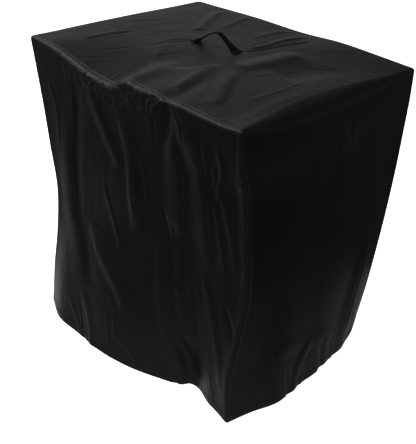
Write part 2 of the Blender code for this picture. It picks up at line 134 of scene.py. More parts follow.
# Swell of each face beyond the line between its corners, mm: a row per level, a column per share of the face
SWELL_AT = (0, 0.12, 0.25, 0.4, 0.55, 0.7, 0.8, 0.9, 1)
SWELL = {
    "front": (
        (0, 33, 38, 42, 30, 2, -20, -12, 0),
        (0, 26, 31, 35, 26, 4, -14, -8, 0),
        (0, 16, 22, 26, 20, 6, -5, -2, 0),
        (0, 8, 13, 17, 14, 6, 1, 2, 0),
        (0, 4, 7, 10, 9, 5, 3, 2, 0),
        (0, 2, 3, 4, 4, 3, 2, 1, 0),
        (0, 1, 1, 2, 2, 1, 1, 0, 0),
        (0, 0, 0, 0, 0, 0, 0, 0, 0),
    ),
    "right": (
        (0, 15, 36, 35, 39, 31, 27, 18, 0),
        (0, 11, 26, 28, 31, 26, 22, 13, 0),
        (0, 7, 16, 20, 23, 20, 16, 9, 0),
        (0, 4, 9, 12, 14, 13, 10, 6, 0),
        (0, 2, 5, 7, 8, 8, 6, 3, 0),
        (0, 1, 2, 3, 4, 3, 2, 1, 0),
        (0, 0, 1, 2, 2, 2, 1, 0, 0),
        (0, 0, 0, 0, 0, 0, 0, 0, 0),
    ),
    "back": (
        (0, 10, 22, 31, 26, 34, 27, 12, 0),
        (0, 8, 17, 24, 21, 26, 21, 9, 0),
        (0, 5, 12, 17, 16, 19, 15, 6, 0),
        (0, 3, 8, 11, 11, 12, 10, 4, 0),
        (0, 3, 6, 8, 8, 8, 7, 3, 0),
        (0, 3, 6, 7, 7, 7, 5, 2, 0),
        (0, 3, 6, 7, 7, 7, 5, 2, 0),
        (0, 3, 6, 7, 7, 7, 5, 2, 0),
    ),
    "left": (
        (0, 9, 16, 22, 25, 20, 21, 12, 0),
        (0, 7, 13, 18, 20, 17, 17, 9, 0),
        (0, 5, 10, 14, 15, 13, 12, 6, 0),
        (0, 4, 8, 11, 11, 10, 9, 4, 0),
        (0, 4, 7, 10, 10, 9, 7, 3, 0),
        (0, 4, 8, 11, 11, 10, 7, 3, 0),
        (0, 4, 8, 12, 12, 11, 8, 3, 0),
        (0, 4, 9, 13, 13, 12, 9, 4, 0),
    ),
}

# Rise of the top edge over HEIGHT, mm, as (share of the face, rise)
EDGE_RISE = {
    "front": (
        (0, 9), (0.1, 7), (0.2, -4), (0.3, -16), (0.38, -20), (0.42, -20), (0.455, -11), (0.485, -1),
        (0.56, -2), (0.66, -2), (0.693, -5), (0.725, -2), (0.83, -3), (0.95, -4), (1, -1.3),
    ),
    "right": ((0, -1.3), (0.1, -3), (0.3, -1), (0.5, -1), (0.7, -3), (0.9, -5), (1, -3.9)),
    "back": ((0, -3.9), (0.12, 0), (0.3, 4), (0.45, 1), (0.7, 3), (0.9, 2), (1, 1.5)),
    "left": ((0, 1.5), (0.2, 2), (0.5, 4), (0.8, 6), (1, 9)),
}

# Radius of the rounded shoulder between a side and the top, mm, as (share of the face, radius)
SHOULDER = {
    "front": ((0, 5), (0.12, 11), (0.4, 13), (0.6, 11), (0.69, 8), (0.8, 11), (0.92, 9), (1, 6)),
    "right": ((0, 6), (0.12, 18), (0.3, 29), (0.6, 28), (0.85, 15), (1, 6)),
    "back": ((0, 6), (0.2, 12), (0.8, 11), (1, 5)),
    "left": ((0, 5), (0.2, 11), (0.8, 10), (1, 5)),
}

# Folds of the sides: height, width of the left flank, width of the right flank, then the crest from its top
# end to its bottom end. Crest points are (distance along the face from its middle, height). All in mm.
FOLDS = {
    "front": (
        (
            2.9, 48, 28,
            ((-194, 503), (-208, 412), (-221, 292), (-190, 239), (-168, 198), (-148, 147), (-132, 100)),
        ),
        (
            -2.1, 13, 26,
            (
                (-147, 600), (-154, 537), (-166, 472), (-180, 401), (-190, 300), (-175, 255), (-149, 209),
                (-122, 158), (-87, 122),
            ),
        ),
        (2.7, 26, 20, ((-113, 575), (-84, 524), (-66, 487), (-47, 460), (-31, 432))),
        (3.2, 22, 36, ((-22, 568), (-14, 515), (-9, 467), (-6, 418), (-4, 362), (2, 292))),
        (4, 26, 56, ((-150, 305), (-116, 247), (-80, 212), (-40, 184), (-9, 156), (16, 114))),
        (4, 48, 20, ((112, 570), (115, 503), (117, 457), (115, 404), (112, 350))),
        (3.5, 26, 22, ((64, 345), (69, 279), (83, 199), (101, 148), (118, 107), (126, 63), (128, 10))),
        (3.4, 30, 24, ((112, 360), (117, 306), (125, 241), (136, 197), (149, 151), (158, 108), (164, 66))),
        (
            4.3, 38, 14,
            ((130, 606), (149, 578), (163, 550), (171, 513), (176, 458), (182, 401), (182, 347), (181, 300)),
        ),
        (
            2.7, 16, 18,
            ((164, 335), (177, 275), (195, 234), (212, 191), (234, 146), (252, 92), (265, 51), (275, 10)),
        ),
        (2.1, 14, 20, ((214, 505), (226, 455), (238, 418), (246, 373), (256, 318))),
        (-2.2, 17, 20, ((256, 540), (258, 492), (259, 435), (261, 392), (260, 349), (262, 295))),
        (-2.7, 18, 20, ((112, 614), (108, 584), (95, 541), (72, 485))),
        (2.2, 9, 22, ((-141, 118), (-116, 86), (-99, 51), (-88, 5), (-84, -30))),
        (-3.4, 14, 34, ((98, 240), (104, 175), (112, 145), (132, 95), (150, 50), (153, 0))),
        (-12, 14, 70, ((126, 140), (140, 80), (150, 30), (150, -30), (148, -90), (146, -160))),
        (-2, 14, 16, ((140, 300), (148, 227), (164, 169), (165, 96), (158, 50))),
    ),
    "right": (
        (1.4, 26, 28, ((20, 585), (22, 500), (14, 410))),
        (-1.4, 24, 24, ((178, 585), (110, 560), (20, 520), (-30, 440))),
        (2.2, 30, 36, ((-150, 128), (-60, 108), (20, 84), (90, 52))),
        (3.2, 20, 24, ((-14, 104), (-48, 60), (-66, 10), (-70, -60))),
        (5, 50, 44, ((176, 260), (146, 130), (118, -60))),
        (-3.6, 16, 22, ((24, 90), (33, 40), (36, 0), (38, -60))),
    ),
    "back": (
        (6, 24, 18, ((-180, 590), (-150, 430), (-158, 200), (-140, -60))),
        (8, 26, 20, ((-60, 560), (-40, 400), (-48, 230), (-30, -60))),
        (6, 20, 24, ((70, 480), (92, 320), (84, 140), (96, -60))),
        (7, 22, 16, ((190, 580), (172, 420), (182, 220), (170, -60))),
        (-6, 20, 20, ((20, 420), (30, 250), (22, -60))),
    ),
    "left": (
        (6, 26, 18, ((-160, 585), (-140, 400), (-150, 180), (-132, -60))),
        (7, 24, 22, ((-40, 520), (-22, 360), (-34, 160), (-20, -60))),
        (6, 20, 26, ((110, 580), (96, 420), (108, 220), (92, -60))),
        (-5, 18, 20, ((40, 380), (52, 200), (44, -60))),
    ),
}

# Smaller creases of the sides, in the same columns
CREASES = {
    "front": (
        (1.8, 12, 7, ((-94, 387), (-78, 344), (-65, 312), (-49, 282), (-30, 255))),
        (-1.8, 5, 5, ((75, 400), (83, 369), (88, 336))),
        (1.8, 8, 8, ((122, 615), (143, 599), (163, 582), (172, 564))),
        (1.4, 5, 6, ((114, 613), (126, 595), (136, 573), (133, 538))),
        (1.7, 14, 8, ((196, 580), (191, 529), (190, 486), (195, 436))),
        (2.1, 12, 8, ((218, 575), (228, 548), (226, 522), (214, 495), (206, 462))),
        (1.5, 7, 6, ((202, 533), (206, 515), (197, 485))),
        (1.8, 9, 8, ((197, 480), (208, 424), (215, 378), (220, 318))),
        (-1.8, 8, 6, ((-140, 98), (-124, 50), (-110, 0), (-106, -30))),
        (1.1, 9, 9, ((-178, 80), (-154, 48), (-126, 8))),
        (1.2, 9, 6, ((-50, 114), (-38, 70), (-35, 19))),
        (1, 6, 6, ((-26, 116), (-15, 46))),
        (1.8, 14, 10, ((-14, 63), (18, 47), (37, 28), (50, 2))),
        (-2.2, 7, 7, ((120, 106), (127, 55), (128, 0), (128, -40))),
        (-1, 4, 4, ((142, 116), (156, 132), (168, 140))),
        (-2.2, 9, 9, ((226, 262), (246, 231), (262, 205), (275, 168))),
        (1.2, 4, 4, ((-68, 565), (-41, 576), (-15, 580))),
        (0.8, 5, 5, ((-5, 603), (6, 589), (16, 576), (2, 557))),
        (-0.8, 4, 4, ((25, 595), (29, 572), (20, 549))),
        (0.6, 4, 4, ((43, 607), (44, 582), (37, 551))),
        (2, 5, 7, ((104, 617), (82, 600), (62, 579))),
        (-1.4, 4, 4, ((46, 600), (68, 609), (87, 613))),
        (-0.8, 3, 4, ((70, 585), (70, 557), (64, 519))),
        (0.8, 5, 5, ((-106, 568), (-96, 557), (-89, 541))),
        (-0.8, 4, 5, ((-74, 577), (-72, 558), (-82, 534))),
        (0.7, 4, 5, ((-38, 566), (-22, 558), (-14, 545))),
        (0.9, 7, 6, ((-11, 443), (-11, 390), (-5, 350))),
        (-0.8, 4, 4, ((-125, 285), (-104, 280), (-72, 272))),
        (-0.9, 4, 4, ((-14, 277), (-1, 262), (13, 244))),
        (-0.8, 3, 4, ((182, 277), (202, 290), (225, 304))),
        (0.9, 6, 6, ((130, 229), (113, 237), (99, 246))),
        (0.8, 5, 5, ((14, 266), (39, 280), (62, 303))),
        (0.9, 8, 6, ((-236, 560), (-226, 490), (-236, 400))),
        (0.8, 9, 9, ((10, 520), (30, 440), (34, 380))),
        (0.8, 8, 8, ((44, 110), (52, 60), (56, 8))),
        (1, 7, 5, ((216, 90), (224, 46), (228, 2))),
    ),
    "right": (
        (0.5, 14, 14, ((-60, 560), (-52, 480), (-58, 400))),
        (0.5, 12, 12, ((60, 570), (52, 500), (44, 440))),
        (-1.4, 6, 8, ((-96, 70), (-92, 30), (-90, -40))),
        (1.4, 8, 6, ((-34, 70), (-40, 30), (-38, -40))),
        (1.5, 10, 8, ((92, 90), (86, 40), (84, -40))),
        (1.6, 7, 7, ((168, 210), (150, 120), (136, 40))),
        (1.5, 6, 6, ((196, 190), (182, 110), (170, 20))),
        (0.8, 12, 12, ((-170, 180), (-150, 120), (-140, 60))),
        (-0.5, 14, 14, ((0, 330), (40, 280), (90, 250))),
        (0.5, 14, 14, ((-120, 300), (-60, 260), (0, 240))),
    ),
    "back": (
        (1.6, 8, 7, ((-110, 520), (-96, 400), (-104, 300))),
        (1.4, 8, 7, ((10, 560), (4, 460), (16, 380))),
        (1.5, 8, 7, ((130, 300), (136, 180), (128, 60))),
        (-1.4, 6, 6, ((-90, 160), (-84, 60), (-86, -40))),
        (1.4, 7, 7, ((220, 260), (214, 140), (218, 20))),
    ),
    "left": (
        (1.6, 8, 7, ((-90, 500), (-84, 380), (-92, 260))),
        (1.4, 8, 7, ((40, 580), (30, 500), (36, 430))),
        (1.5, 8, 7, ((150, 300), (156, 180), (150, 60))),
        (-1.4, 6, 6, ((-60, 140), (-66, 60), (-64, -40))),
    ),
}

# Folds of the top panel, in the same columns, with crest points as (x, y) from the middle, mm
TOP_FOLDS = (
    (4, 26, 40, ((78, -52), (88, -14), (97, 50), (105, 134))),
    (-5, 60, 60, ((150, -20), (165, 60), (160, 110))),
    (2.6, 22, 20, ((90, -226), (72, -189), (55, -120), (33, -46))),
    (3, 18, 26, ((160, -222), (156, -182), (127, -133), (78, -44))),
    (-1.6, 6, 10, ((24, 30), (40, 80), (52, 140), (80, 212))),
    (1.6, 8, 10, ((14, 60), (26, 100), (28, 168), (50, 236))),
    (1.2, 14, 12, ((-24, 120), (-16, 200), (8, 240))),
    (1.8, 18, 18, ((-128, 72), (-136, 86), (-174, 165), (-192, 232))),
    (1.4, 14, 14, ((-104, 110), (-118, 190), (-122, 236))),
    (-1.2, 8, 9, ((-82, 12), (-94, -13), (-104, -44))),
    (1.4, 12, 8, ((-214, -168), (-216, -121), (-204, -45))),
    (1.8, 26, 20, ((246, -226), (236, -165), (238, -91), (246, 15))),
    (-4, 70, 80, ((-60, -120), (-20, -90), (30, -110))),
)

# Smaller creases of the top panel, in the same columns
TOP_CREASES = (
    (-0.9, 3.5, 4, ((22, 30), (38, 79), (51, 139), (77, 208))),
    (0.8, 4, 5, ((16, 62), (26, 100), (30, 168), (51, 238))),
    (0.7, 5, 5, ((30, 26), (50, 66), (70, 120), (98, 176))),
    (-0.6, 5, 5, ((2, 52), (12, 90), (18, 140))),
    (0.5, 6, 6, ((56, 20), (78, 62), (96, 110), (124, 160))),
    (-0.8, 4, 5, ((-80, 13), (-94, 8), (-109, -18), (-110, -60), (-114, -100))),
    (0.5, 5, 5, ((-84, 26), (-112, 4), (-122, -40), (-124, -90))),
    (0.4, 6, 6, ((-70, -4), (-90, -30), (-96, -80))),
    (-0.9, 4, 5, ((-204, -170), (-205, -121), (-194, -44))),
    (0.6, 5, 6, ((-196, -168), (-197, -121), (-187, -50))),
    (-0.6, 5, 5, ((-160, -180), (-146, -146), (-129, -112))),
    (0.5, 5, 5, ((-152, -182), (-138, -146), (-121, -112))),
    (-0.7, 5, 5, ((-156, -236), (-144, -206), (-126, -170))),
    (0.6, 5, 5, ((-148, -238), (-136, -208), (-118, -172))),
    (0.8, 6, 6, ((-254, -4), (-246, 20), (-230, 52))),
    (0.4, 6, 6, ((-226, -60), (-214, 10), (-196, 70))),
    (0.4, 6, 6, ((-180, -70), (-168, 0), (-150, 60))),
    (-0.4, 6, 6, ((-60, -100), (-50, -40), (-46, 0))),
    (0.4, 6, 6, ((-90, -150), (-70, -90), (-60, -50))),
    (0.7, 7, 6, ((60, -160), (80, -196), (96, -226))),
    (0.7, 7, 6, ((190, -150), (200, -60), (196, 30))),
    (0.6, 7, 7, ((120, -60), (136, -10), (150, 60))),
    (-0.6, 6, 6, ((120, 150), (150, 190), (180, 220))),
    (1.0, 3, 3, ((-82, -206), (-66, -244))),
    (0.9, 3, 3, ((-72, -200), (-54, -244))),
    (0.8, 3, 3, ((-56, -214), (-42, -244))),
)

STRAP_THICK = 0.0018
STRAP_LIFT = 0.0006  # above the highest part of the cloth under the loop
STRAP_MIDDLE = (-0.029, 0.019)
STRAP_TURN = 0.12  # radians from the X axis
STRAP_FOOTPRINT = (0.06, 0.016)  # half of the cloth that the loop lies over, along it and across
STRAP_POINTS, STRAP_COLUMNS = 141, 25  # points along the loop and across it
STRAP_CURL = 0.0016  # how far the grip's edges curl down
STRAP_CURL_UNDER = 0.024  # width at which the webbing begins to curl
STRAP_CURL_CHANGE = 0.008  # loss of width over which it takes its full curl
STRAP_EDGE = 0.25  # share of the thickness left at the woven edges
STRAP_EDGE_POWER = 8  # how sharply the webbing thins there
STRAP_LAY = 0.026  # width of the flat webbing

STITCH_WIDE = 0.00055
STITCH_HIGH = 0.0005
STITCH_LIFT = 0.00005
HEM_STITCH_DOWN = 0.004  # from the top of the hem to its line of stitches
HEM_PITCH = 0.0019
HEM_STITCH_CLEAR = 4  # points of the cloth kept free at each upright seam
LOOP_PITCH = 0.0016
LOOP_STITCH_ROWS = (0.0025, 0.0065)  # distances from each end of the loop
LOOP_STITCH_CLEAR = 2  # points of the webbing kept free at its edges
# Rows of the loop from its left end: distance along it, height over the cloth and width, mm
STRAP_ROWS = (
    (-56, 0, 27), (-50, 0, 27), (-45, 0.8, 27), (-40, 5, 25), (-31, 12.5, 19), (-19, 20.5, 16), (-8, 26, 15),
    (1, 28.5, 15), (8, 27.5, 15), (17, 21.5, 15), (28, 13, 17), (37, 5.5, 23), (43, 1, 27), (48, 0, 28),
    (54, 0, 28),
)

FINE = 0.0031  # spacing of the cloth's points


# The hanging shape


def curve(at, stops, values):
    """Smooth line through the given values, flat beyond both ends."""
    stops = np.asarray(stops, float)
    values = np.asarray(values, float)
    slopes = np.gradient(values, stops)
    index = np.clip(np.searchsorted(stops, at) - 1, 0, len(stops) - 2)
    span = stops[index + 1] - stops[index]
    t = np.clip((at - stops[index]) / span, 0, 1)
    keep = (2 * t**3 - 3 * t**2 + 1) * values[index] + (3 * t**2 - 2 * t**3) * values[index + 1]
    lean = (t**3 - 2 * t**2 + t) * slopes[index] + (t**3 - t**2) * slopes[index + 1]
    return keep + lean * span


def smooth(t):
    t = np.clip(t, 0, 1)
    return t * t * (3 - 2 * t)


def table_of(rows, at):
    stops, values = zip(*rows)
    return curve(at, stops, values)


def ripple(at, pitch, phase, wander, wander_pitch):
    """A wave between -1 and 1 whose phase wanders."""
    return np.sin(at / pitch + phase + wander * np.sin(at / wander_pitch))


def clear_of_ends(share, margin, reach):
    """0 within the margin of either end, rising to 1 over the reach."""
    return smooth((share - margin) / reach) * smooth((1 - margin - share) / reach)


def crest_points(path):
    """The crest as a smooth line of points evenly spread over its control points."""
    path = np.asarray(path, float)
    steps = np.arange(len(path))
    at = np.linspace(0, len(path) - 1, CREST_POINTS)
    return np.stack([curve(at, steps, path[:, 0]), curve(at, steps, path[:, 1])], axis=1)


def fold_height(across, up, rows):
    """Sum of the folds at points of a face, mm."""
    total = np.zeros(np.broadcast(across, up).shape)
    for height, left, right, path in rows:
        line = crest_points(path)
        best = np.full(total.shape, np.inf)
        side = np.zeros(total.shape)
        travel = np.zeros(total.shape)
        for step in range(len(line) - 1):
            start = line[step]
            run = line[step + 1] - start
            from_x = across - start[0]
            from_y = up - start[1]
            t = np.clip((from_x * run[0] + from_y * run[1]) / (run @ run), 0, 1)
            away_x = from_x - t * run[0]
            away_y = from_y - t * run[1]
            distance = np.hypot(away_x, away_y)
            nearer = distance < best
            best = np.where(nearer, distance, best)
            side = np.where(nearer, away_y * run[0] - away_x * run[1], side)
            travel = np.where(nearer, (step + t) / (len(line) - 1), travel)
        width = np.where(side < 0, left, right)
        bump = 0.5 + 0.5 * np.cos(np.pi * np.clip(best / width, 0, 1))
        total = total + height * bump * smooth(travel / FOLD_FADE) * smooth((1 - travel) / FOLD_FADE)
    return total


def corner_at(number, z):
    level = z / MM
    x = NOMINAL[number][0] * WIDTH / 2 + curve(level, LEVELS, CORNER_X[number]) * MM
    y = NOMINAL[number][1] * DEPTH / 2 + curve(level, LEVELS, CORNER_Y[number]) * MM
    return x, y


def swell_at(name, share, z):
    rows = [curve(share, SWELL_AT, row) for row in SWELL[name]]
    level = np.clip(z / MM, LEVELS[0], LEVELS[-1])
    total = np.zeros(np.broadcast(share, z).shape)
    for index in range(len(LEVELS)):
        weight = curve(level, LEVELS, np.eye(len(LEVELS))[index])
        total = total + weight * rows[index]
    return total * MM


def gathers(name, along, z, edge):
    """Small puckers that the top seam draws into a side, mm."""
    below = np.maximum(edge / MM - z / MM, 0)
    wave = ripple(along, *SIDE_PUCKER_WAVE) + SIDE_PUCKER_SECOND_SHARE * ripple(along, *SIDE_PUCKER_SECOND)
    drawn = (0.5 + 0.5 * np.sin(along / SIDE_PUCKER_CALM_PITCH + len(name))) ** 2
    strength = SIDE_PUCKER_CALM + (1 - SIDE_PUCKER_CALM) * drawn
    return SIDE_PUCKER_HIGH * wave * strength * np.exp(-below / SIDE_PUCKER_FADE)


def face_point(number, share, z, inset, fold_share, edge):
    """Plan position on one face before its ends are rounded.

    The share runs along the face, and the edge is the height of the top seam over it. The inset and the share
    of the folds that is left belong to the rounded shoulder.
    """
    name = FACES[number]
    start_x, start_y = corner_at(number, z)
    end_x, end_y = corner_at((number + 1) % 4, z)
    along = (share - 0.5) * LENGTHS[number] / MM
    near = clear_of_ends(share, CORNER, CREASE_CLEAR)
    folds = fold_height(along, z / MM, FOLDS[name]) * clear_of_ends(share, CORNER, FOLD_CLEAR)
    folds = folds + fold_height(along, z / MM, CREASES[name]) * near
    folds = folds + gathers(name, along, z, edge) * near
    hem = HEM_STEP * smooth((HEM_DEEP - z) / HEM_BLEND)
    out = swell_at(name, share, z) + folds * MM * fold_share - inset + hem
    slide = inset * (1 - 2 * share)
    x = start_x + (end_x - start_x) * share + ALONG[number][0] * slide + OUTWARD[number][0] * out
    y = start_y + (end_y - start_y) * share + ALONG[number][1] * slide + OUTWARD[number][1] * out
    return x, y


def edge_of(turn, kind):
    """Value of an edge table in metres. The turn counts faces from the front left corner."""
    turn = np.mod(turn, 4)
    number = np.minimum(np.floor(turn).astype(int), 3)
    values = [table_of(kind[name], turn - index) for index, name in enumerate(FACES)]
    return np.choose(number, values) * MM


def wall(turn, row):
    """Outer surface of the sides: turn runs round the cover, row from the hem at 0 to the top seam at 1."""
    turn, row = np.broadcast_arrays(np.asarray(turn, float), np.asarray(row, float))
    radius = edge_of(turn, SHOULDER)
    edge = HEIGHT + edge_of(turn, EDGE_RISE)
    bend = np.clip((row - WALL_SHARE) / (1 - WALL_SHARE), 0, 1) * np.pi / 2
    z = np.clip(row / WALL_SHARE, 0, 1) * (edge - radius) + radius * np.sin(bend)
    inset = radius * (1 - np.cos(bend))
    fold_share = np.cos(bend)
    nearest = np.rint(turn)
    local = (turn - nearest) / CORNER
    rounded = np.abs(local) < 1
    turn_wrapped = np.mod(turn, 4)
    number = np.minimum(np.floor(turn_wrapped).astype(int), 3)
    x = np.zeros(turn.shape)
    y = np.zeros(turn.shape)
    for face in range(4):
        here = (number == face) & ~rounded
        if here.any():
            share = turn_wrapped[here] - face
            x[here], y[here] = face_point(face, share, z[here], inset[here], fold_share[here], edge[here])
        bent = rounded & (np.mod(nearest, 4) == face)
        if bent.any():
            t = (local[bent] + 1) / 2
            values = (z[bent], inset[bent], fold_share[bent], edge[bent])
            before = face_point((face + 3) % 4, np.full(t.shape, 1 - CORNER), *values)
            after = face_point(face, np.full(t.shape, CORNER), *values)
            tip = face_point(face, np.zeros(t.shape), *values)
            weights = ((1 - t) ** 2, 2 * t * (1 - t), t**2)
            x[bent] = weights[0] * before[0] + weights[1] * tip[0] + weights[2] * after[0]
            y[bent] = weights[0] * before[1] + weights[1] * tip[1] + weights[2] * after[1]
    return np.stack([x + SHIFT_X, y + SHIFT_Y, z], axis=-1)


def top(p, q):
    """Outer surface of the top panel: p runs from left to right and q from front to back."""
    p, q = np.broadcast_arrays(np.asarray(p, float), np.asarray(q, float))
    front = wall(p[:, :1], 1)
    back = wall(3 - p[:, :1], 1)
    left = wall(4 - q[:1], 1)
    right = wall(1 + q[:1], 1)
    corners = [wall(number, 1) for number in range(4)]
    along, up = p[..., None], q[..., None]
    point = front * (1 - up) + back * up + left * (1 - along) + right * along
    point = point - corners[0] * (1 - along) * (1 - up) - corners[1] * along * (1 - up)
    point = point - corners[2] * along * up - corners[3] * (1 - along) * up
    near = {side: smooth(1 - away / TOP_RISE_REACH) for side, away in zip("flbr", (q, p, 1 - q, 1 - p))}
    rise = (
        near["f"] * (front[..., 2] - HEIGHT) + near["b"] * (back[..., 2] - HEIGHT)
        + near["l"] * (left[..., 2] - HEIGHT) + near["r"] * (right[..., 2] - HEIGHT)
        - near["f"] * near["l"] * (corners[0][2] - HEIGHT) - near["f"] * near["r"] * (corners[1][2] - HEIGHT)
        - near["b"] * near["r"] * (corners[2][2] - HEIGHT) - near["b"] * near["l"] * (corners[3][2] - HEIGHT)
    )
    middle_x = (point[..., 0] - SHIFT_X) / MM
    middle_y = (point[..., 1] - SHIFT_Y) / MM
    inside = clear_of_ends(p, 0, TOP_FOLD_CLEAR) * clear_of_ends(q, 0, TOP_FOLD_CLEAR)
    close = clear_of_ends(p, 0, CREASE_CLEAR) * clear_of_ends(q, 0, CREASE_CLEAR)
    folds = fold_height(middle_x, middle_y, TOP_FOLDS) * inside
    folds = folds + fold_height(middle_x, middle_y, TOP_CREASES) * close
    edges = ((middle_x, q), (middle_x, 1 - q), (middle_y, 1 - p))
    for high, wave, (at, away) in zip(TOP_PUCKER_HIGH, TOP_PUCKER_WAVES, edges):
        folds = folds + high * ripple(at, *wave) * np.exp(-away / TOP_PUCKER_FADE) * close
    point[..., 2] = HEIGHT + rise + folds * MM
    return point


def grid_normals(points):
    """Unit normals of a grid of points, pointing out of the cover."""
    along = np.gradient(points, axis=0)
    up = np.gradient(points, axis=1)
    normal = np.cross(along, up)
    return normal / np.maximum(np.linalg.norm(normal, axis=-1, keepdims=True), 1e-12)


# Pieces


def new_piece(name, shape, material):
    mesh = bpy.data.meshes.new(name)
    shape.to_mesh(mesh)
    shape.free()
    for face in mesh.polygons:
        face.use_smooth = True
    mesh.materials.append(material)
    piece = bpy.data.objects.new(name, mesh)
    bpy.context.scene.collection.objects.link(piece)
    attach(piece, "root")
    return piece


def closed_sheet(name, outer, inner, lay, material):
    """A sheet extruded between two grids of points. Its UV map is its lay on the flat cloth."""
    across, up = outer.shape[0] - 1, outer.shape[1] - 1
    shape = bmesh.new()
    uv = shape.loops.layers.uv.new("lay")
    bmesh.ops.create_grid(shape, x_segments=across, y_segments=up, size=0.5)
    place = {vert: (round((vert.co.x + 0.5) * across), round((vert.co.y + 0.5) * up)) for vert in shape.verts}
    made = bmesh.ops.extrude_face_region(shape, geom=list(shape.faces), use_keep_orig=True)
    under = {}
    for vert in made["geom"]:
        if isinstance(vert, bmesh.types.BMVert):
            under[vert] = (round((vert.co.x + 0.5) * across), round((vert.co.y + 0.5) * up))
    for face in shape.faces:
        for loop in face.loops:
            index = place.get(loop.vert) or under[loop.vert]
            loop[uv].uv = lay[index]
    for vert, index in under.items():
        vert.co = inner[index]
    for vert, index in place.items():
        vert.co = outer[index]
    bmesh.ops.recalc_face_normals(shape, faces=list(shape.faces))
    return new_piece(name, shape, material)


def spread(length, fine, ends):
    """Shares from 0 to 1 with even steps of about fine and closer steps near both ends."""
    steps = np.array(ends) / length
    count = max(2, round(length * (1 - 2 * steps[-1]) / fine))
    middle = np.linspace(steps[-1], 1 - steps[-1], count + 1)
    return np.concatenate([[0], steps[:-1], middle, (1 - steps[:-1])[::-1], [1]])


def near_line(away, reach):
    """1 on a line, falling to 0 within about twice the reach."""
    return np.exp(-((away / reach) ** 2))


def rib(number, to_top, before, after, z):
    """How far the upright seams stand out, before and after being the distances to a side's two ends."""
    low = smooth((RIB_SLIM_ABOVE - z) / RIB_SLIM_CHANGE)
    puckered = smooth((z - RIB_PUCKER_ABOVE) / RIB_PUCKER_CHANGE)
    pucker = 1 + RIB_PUCKER * ripple(z, *RIB_PUCKER_WAVE) * puckered
    at_hem = RIB_HEM_SHARE + (1 - RIB_HEM_SHARE) * smooth(z / RIB_HEM_FADE)
    share = (RIB_SLIM_SHARE + (1 - RIB_SLIM_SHARE) * low) * pucker * smooth(to_top / RIB_TOP_FADE) * at_hem
    right_end = RIB_HIGH[(number + 1) % 4] * near_line(before, RIB_NARROW + RIB_WIDE * low)
    return share * np.maximum(right_end, RIB_HIGH[number] * near_line(after, RIB_NARROW))


def side_cloth(number, material):
    """One side, turned in at its seams and hemmed at the bottom. Neighbours share the line of their seam."""
    length = LENGTHS[number]
    shares = spread(length, FINE, SEAM_STEPS)
    first = -SEAM_STEPS[0] / LENGTHS[(number + 3) % 4]
    last = 1 + SEAM_STEPS[0] / LENGTHS[(number + 1) % 4]
    hem_rows = np.array(HEM_ROWS) / HEIGHT * WALL_SHARE
    body = np.linspace(hem_rows[-1], WALL_SHARE, round(HEIGHT / FINE * WALL_SHARE))[1:]
    shoulder = WALL_SHARE + (1 - WALL_SHARE) * np.array(SHOULDER_ROWS)
    rows = np.concatenate([hem_rows, body, shoulder])
    turn, row = np.meshgrid(number + np.concatenate([[first], shares, [last]]), rows, indexing="ij")
    points = wall(turn, row)
    normal = grid_normals(points)[1:-1]
    points = points[1:-1]
    turn, row = turn[1:-1], row[1:-1]
    ring = np.linalg.norm(np.diff(points, axis=1), axis=-1)
    below_top = np.cumsum(ring[:, ::-1], axis=1)[:, ::-1]
    to_top = np.concatenate([below_top, np.zeros((len(shares), 1))], axis=1)
    after = shares[:, None] * length * np.ones_like(row)
    before = length - after
    upright = near_line(to_top, SEAM_REACH)[..., None]
    normal = normal * (1 - upright) + UP * upright
    normal /= np.linalg.norm(normal, axis=-1, keepdims=True)
    top_seam = TOP_SEAM_SHARE[number] * near_line(to_top, SEAM_REACH)
    upright_share = UPRIGHT_SEAM_SHARE + (1 - UPRIGHT_SEAM_SHARE) * near_line(to_top, UPRIGHT_SEAM_REACH)
    upright_seam = upright_share * near_line(np.minimum(before, after), SEAM_REACH)
    out = rib(number, to_top, before, after, points[..., 2]) - SEAM_DIP * np.maximum(top_seam, upright_seam)
    outer = points + normal * out[..., None]
    deep = CLOTH * (1 + HEM_THICKER * smooth((HEM_DEEP - points[..., 2]) / HEM_BLEND))
    inner = outer - normal * deep[..., None]
    outer[:, 0, 2] = 0.0
    inner[:, 0, 2] = 0.0
    lay_up = points[..., 2] + (row - WALL_SHARE).clip(0) * SHOULDER_LAY
    lay = np.stack([(turn - number) * length, lay_up], axis=-1)
    piece = closed_sheet(FACES[number] + "_cloth", outer, inner, lay, material)
    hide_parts("side_panel_" + FACES[number])
    return piece, outer, normal


def top_cloth(material):
    """The top panel, turned in at the seam all round."""
    p, q = np.meshgrid(spread(WIDTH, FINE, SEAM_STEPS), spread(DEPTH, FINE, SEAM_STEPS), indexing="ij")
    outer = top(p, q)
    edges = (q * DEPTH, (1 - p) * WIDTH, (1 - q) * DEPTH, p * WIDTH)
    seams = [share * near_line(away, SEAM_REACH) for share, away in zip(TOP_SEAM_SHARE, edges)]
    outer[..., 2] -= SEAM_DIP * np.max(seams, axis=0)
    inner = outer - UP * CLOTH
    lay = np.stack([p * WIDTH, q * DEPTH], axis=-1)
    piece = closed_sheet("top_cloth", outer, inner, lay, material)
    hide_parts("top_panel")
    return piece, outer


